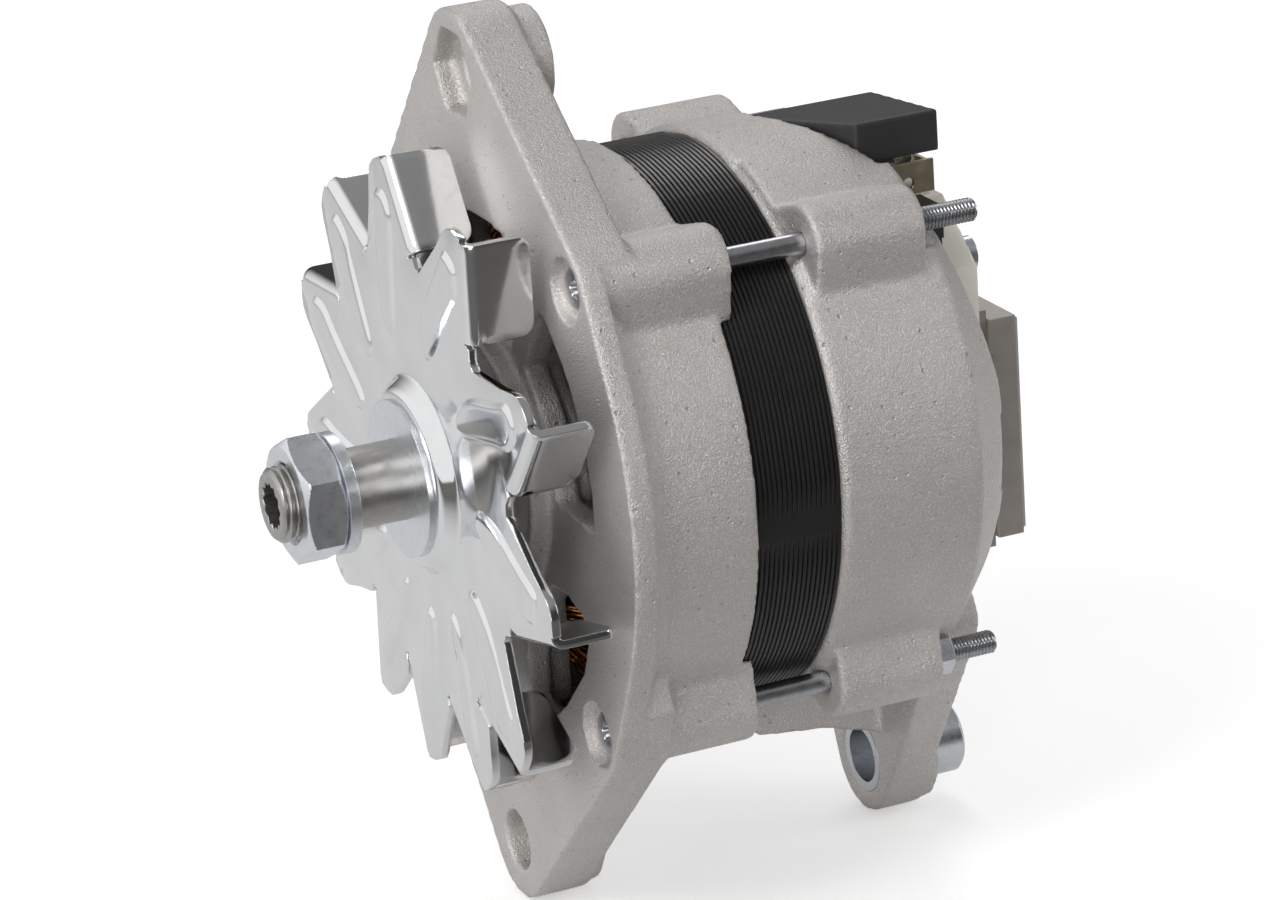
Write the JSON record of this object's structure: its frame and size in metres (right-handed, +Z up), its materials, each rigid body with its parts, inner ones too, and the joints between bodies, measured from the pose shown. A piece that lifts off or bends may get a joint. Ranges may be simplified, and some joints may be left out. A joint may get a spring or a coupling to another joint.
{
  "type": "vehicle alternator",
  "caption": "Alternator with two cast brackets, black stator stack, claw pole rotor on bearings, stamped open fan, bare pulley seat with nut, rear regulator and covered terminal.",
  "frame": {"origin": "on the shaft axis, in the plane of the drive end bracket's front face", "axes": "-Y along the shaft towards the pulley end, +Y towards the slip ring end, +Z up through the top ear, +X to the side the regulator is seen from"},
  "size_m": [0.136, 0.1605, 0.1963],
  "materials": {
    "cast": "shot blasted casting, fine grain",
    "zinc": "bright zinc plated steel",
    "steel": "ground bearing and shaft steel",
    "fan": "bright plated sheet steel",
    "stack": "gloss black varnished laminations",
    "copper": "enamelled copper",
    "black_plastic": "satin black moulding",
    "rubber": "black seal rubber",
    "white_plastic": "off-white moulding",
    "grey_metal": "grey textured plate",
    "iron": "dark forged iron",
    "brass": "dull brass",
    "carbon": "carbon and copper brush"
  },
  "bodies": {
    "housing": {"drive_end_bracket": "cast", "slip_ring_end_bracket": "cast", "stator_core": "stack", "stator_winding": "copper", "phase_leads": "copper", "front_bearing_outer": "steel", "front_bearing_seals": "rubber", "bearing_retainer": "zinc", "retainer_screws": "zinc", "rear_bearing_outer": "steel", "rear_bearing_seals": "rubber", "through_bolts": "zinc", "stud_nut": "zinc", "rear_mount_bush": "zinc", "heat_sink_plus": "grey_metal", "heat_sink_minus": "grey_metal", "diodes_plus": "zinc", "diodes_minus": "zinc", "sink_insulators": "white_plastic", "terminal_stud": "zinc", "terminal_washer": "zinc", "toothed_washer": "zinc", "terminal_nut": "zinc", "terminal_tab": "brass", "sense_tab": "brass", "terminal_insulator": "white_plastic", "terminal_cover": "black_plastic", "connector_block": "black_plastic", "brush_holder": "white_plastic", "regulator_plate": "grey_metal", "regulator_body": "grey_metal", "regulator_screws": "zinc", "holder_screws": "zinc", "brush_spring_a": "zinc", "brush_spring_b": "zinc"},
    "rotor": {"rotor_shaft": "steel", "front_claw_pole": "iron", "rear_claw_pole": "iron", "rotor_core": "iron", "coil_bobbin": "white_plastic", "field_coil": "copper", "slip_ring_sleeve": "black_plastic", "slip_rings": "copper", "front_bearing_inner": "steel", "rear_bearing_inner": "steel", "fan_spacer": "zinc", "cooling_fan": "fan", "fan_washer": "zinc", "lock_washer": "zinc", "pulley_nut": "zinc"},
    "front_cage": {"front_bearing_cage": "brass", "front_bearing_balls": "steel"},
    "rear_cage": {"rear_bearing_cage": "brass", "rear_bearing_balls": "steel"},
    "brush_a_body": {"brush_a": "carbon"},
    "brush_b_body": {"brush_b": "carbon"}
  },
  "joints": [
    {"name": "rotor_spin", "type": "hinge", "parent": "housing", "child": "rotor", "pos_m": [0, 0, 0], "axis": [0, -1, 0], "continuous": true},
    {"name": "front_cage_spin", "type": "hinge", "parent": "housing", "child": "front_cage", "pos_m": [0, 0.003, 0], "axis": [0, -1, 0], "continuous": true},
    {"name": "rear_cage_spin", "type": "hinge", "parent": "housing", "child": "rear_cage", "pos_m": [0, 0.0775, 0], "axis": [0, -1, 0], "continuous": true},
    {"name": "brush_a_slide", "type": "slide", "parent": "housing", "child": "brush_a_body", "axis": [0, 0, -1], "range_m": [0, 0.005], "stiffness_N_per_m": 120, "springref_m": -0.02, "deforming": ["brush_spring_a"]},
    {"name": "brush_b_slide", "type": "slide", "parent": "housing", "child": "brush_b_body", "axis": [0, 0, -1], "range_m": [0, 0.005], "stiffness_N_per_m": 120, "springref_m": -0.02, "deforming": ["brush_spring_b"]}
  ],
  "couplings": [
    {"joint": "front_cage_spin", "follows": "rotor_spin", "ratio": 0.38158},
    {"joint": "rear_cage_spin", "follows": "rotor_spin", "ratio": 0.381}
  ]
}
